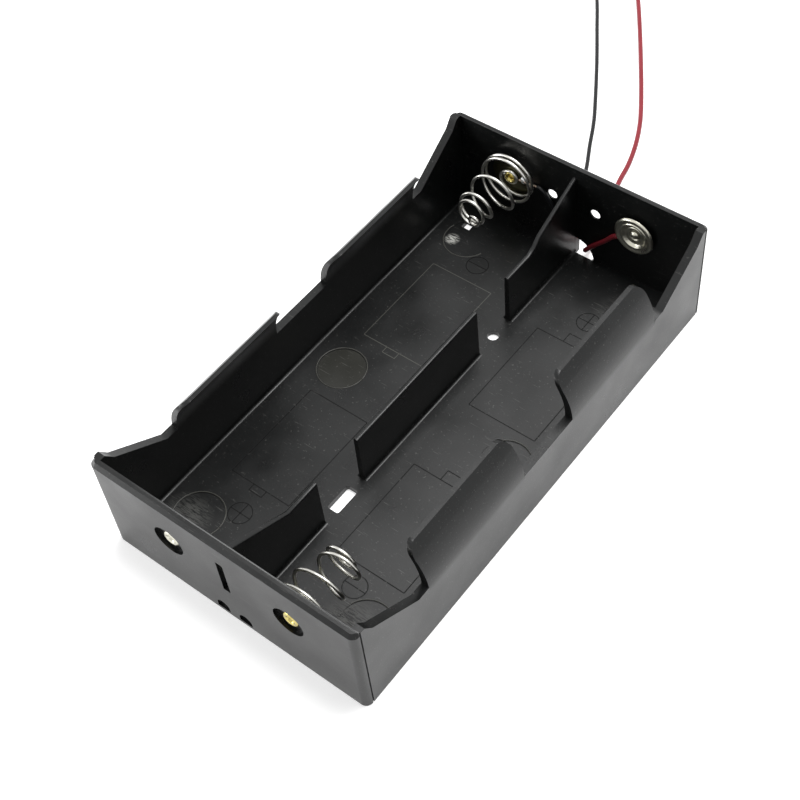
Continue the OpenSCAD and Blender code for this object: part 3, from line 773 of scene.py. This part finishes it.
def floor_marks():
    """Fine lines of the mould: cell outlines and polarity rings dark as painted shade in their grooves,
    ejector rings and one cell outline pale as painted highlight, and one polished ejector face paler as
    painted sheen.
    """
    engraved = (
        cell_outline(7.5, 26.6, -41, -12.5, 3) + cell_outline(7.7, 26.7, 8.7, 37.5, 3)
        + cell_outline(-26.5, -9, -38.3, -9.5, -1.9)
        + polarity(16.8, -46, False) + polarity(-17, -46.2, True)
        + polarity(-17, 46, False) + polarity(17, 46, True)
    )
    # Engraved lines drawn as flat dark ribbons: painted shade of their grooves
    flat_marks("engraved_marks_painted_shade", engraved, 0.26, GROOVE_SHADE_ABS)
    # One cell's outline drawn pale: a painted highlight on the edge of its line
    flat_marks("pale_outline", cell_outline(-26.8, -8.5, 11.5, 40.2, -1.9), 0.2, HIGHLIGHT_PAINTED_ABS)
    # Side, place along the bay, and the stretch of each ring that is drawn pale as painted highlight, in
    # degrees
    rings = [
        torus(side * EJECTOR_X, y, EJECTOR_RADIUS, 0.3, start, end) for side, y, start, end in (
            (-1, 0, 0, 360), (-1, -EJECTOR_Y, 0, 360), (-1, EJECTOR_Y, 160, 340),
            (1, 0, 20, 150), (1, -EJECTOR_Y, 20, 160),
        )
    ]
    add_object("ejector_rings", join("ejector_rings", rings), HIGHLIGHT_PAINTED_ABS)
    # The polished ejector face, paler than the floor as painted sheen
    rim = circle(-EJECTOR_X, 0, EJECTOR_FACE_RADIUS)[:-1] * MM
    mesh = bpy.data.meshes.new("ejector_face_left_middle")
    disc = np.column_stack([rim, np.full(len(rim), FLOOR_TOP - EJECTOR_DEPTH)])
    mesh.from_pydata(disc.tolist(), [], [tuple(range(len(rim)))])
    add_object("ejector_face_left_middle", mesh, SHEEN_PAINTED_ABS)


floor_marks()


# ---------------------------------------------------------------- studio

# White of the floor, what it adds of its own where it is seen, and the white behind it
PAPER_WHITE = 0.82
PAPER_GLOW = 0.5
BACKDROP = 1.1
# Light from the room, at the horizon and overhead
ROOM_LOW, ROOM_HIGH = 0.04, 0.6
WHITE = (1, 1, 1, 1)
# How far under the tray the paper lies, so that their faces don't fight
FLOOR_GAP = 0.1 * MM


def area_lamp(name, place, size, power):
    """Rectangular soft lamp at a place, facing the tray's middle."""
    data = bpy.data.lights.new(name, "AREA")
    data.shape = "RECTANGLE"
    data.size, data.size_y = size
    data.energy = power
    lamp = bpy.data.objects.new(name, data)
    away = np.array(place, float) / np.linalg.norm(place)
    side, top = level_axes(away)
    set_up(lamp, side, top, away, place)


def seen_or_mirrored(tree):
    """One for rays from the camera and those mirrored or let through by a surface, nought for soft light."""
    rays = add_node(tree, "ShaderNodeLightPath").outputs
    either = combine(tree, "MAXIMUM", rays["Is Camera Ray"], rays["Is Glossy Ray"])
    return combine(tree, "MAXIMUM", either, rays["Is Transmission Ray"])


def empty_tree(owner):
    """The emptied node tree of a material or world."""
    owner.use_nodes = True
    owner.node_tree.nodes.clear()
    return owner.node_tree


def studio_floor():
    """White paper that keeps soft shadows, and glows enough to look white where it is seen or mirrored."""
    half = 3.0
    corners = np.array([(-1, -1), (1, -1), (1, 1), (-1, 1)]) * half
    points = np.column_stack([corners, np.full(4, TRAY_LOW[2] - FLOOR_GAP)])
    mesh = bpy.data.meshes.new("studio_floor")
    mesh.from_pydata(points.tolist(), [], [(0, 1, 2, 3)])
    floor = bpy.data.objects.new("studio_floor", mesh)
    bpy.context.scene.collection.objects.link(floor)

    material = bpy.data.materials.new("studio_paper")
    tree = empty_tree(material)
    paper = add_node(tree, "ShaderNodeBsdfDiffuse", {"Color": (PAPER_WHITE, PAPER_WHITE, PAPER_WHITE, 1)})
    glow = add_node(tree, "ShaderNodeEmission", {"Color": WHITE, "Strength": PAPER_GLOW})
    lit = add_node(tree, "ShaderNodeAddShader", {0: paper.outputs[0], 1: glow.outputs[0]})
    choose = add_node(
        tree, "ShaderNodeMixShader", {0: seen_or_mirrored(tree), 1: paper.outputs[0], 2: lit.outputs[0]},
    )
    add_node(tree, "ShaderNodeOutputMaterial", {"Surface": choose.outputs[0]})
    mesh.materials.append(material)


def studio_world():
    """A room that is darker towards the horizon, with a white backdrop where it is seen or mirrored."""
    world = bpy.data.worlds.new("studio_world")
    tree = empty_tree(world)
    heading = add_node(tree, "ShaderNodeTexCoord").outputs["Generated"]
    height = add_node(tree, "ShaderNodeSeparateXYZ", {0: heading}).outputs["Z"]
    strength = remap(tree, height, 0.0, 1.0, ROOM_LOW, ROOM_HIGH)
    room = add_node(tree, "ShaderNodeBackground", {"Color": WHITE, "Strength": strength})
    backdrop = add_node(tree, "ShaderNodeBackground", {"Color": WHITE, "Strength": BACKDROP})
    choose = add_node(
        tree, "ShaderNodeMixShader", {0: seen_or_mirrored(tree), 1: room.outputs[0], 2: backdrop.outputs[0]},
    )
    add_node(tree, "ShaderNodeOutputWorld", {"Surface": choose.outputs[0]})
    bpy.context.scene.world = world


studio_floor()
studio_world()
area_lamp("key", (0.04, 0.25, 0.8), (0.5, 0.5), 8.5)
area_lamp("fill", (-0.5, -0.3, 0.12), (0.5, 0.2), 2.2)
bpy.context.scene.view_settings.view_transform = "Standard"
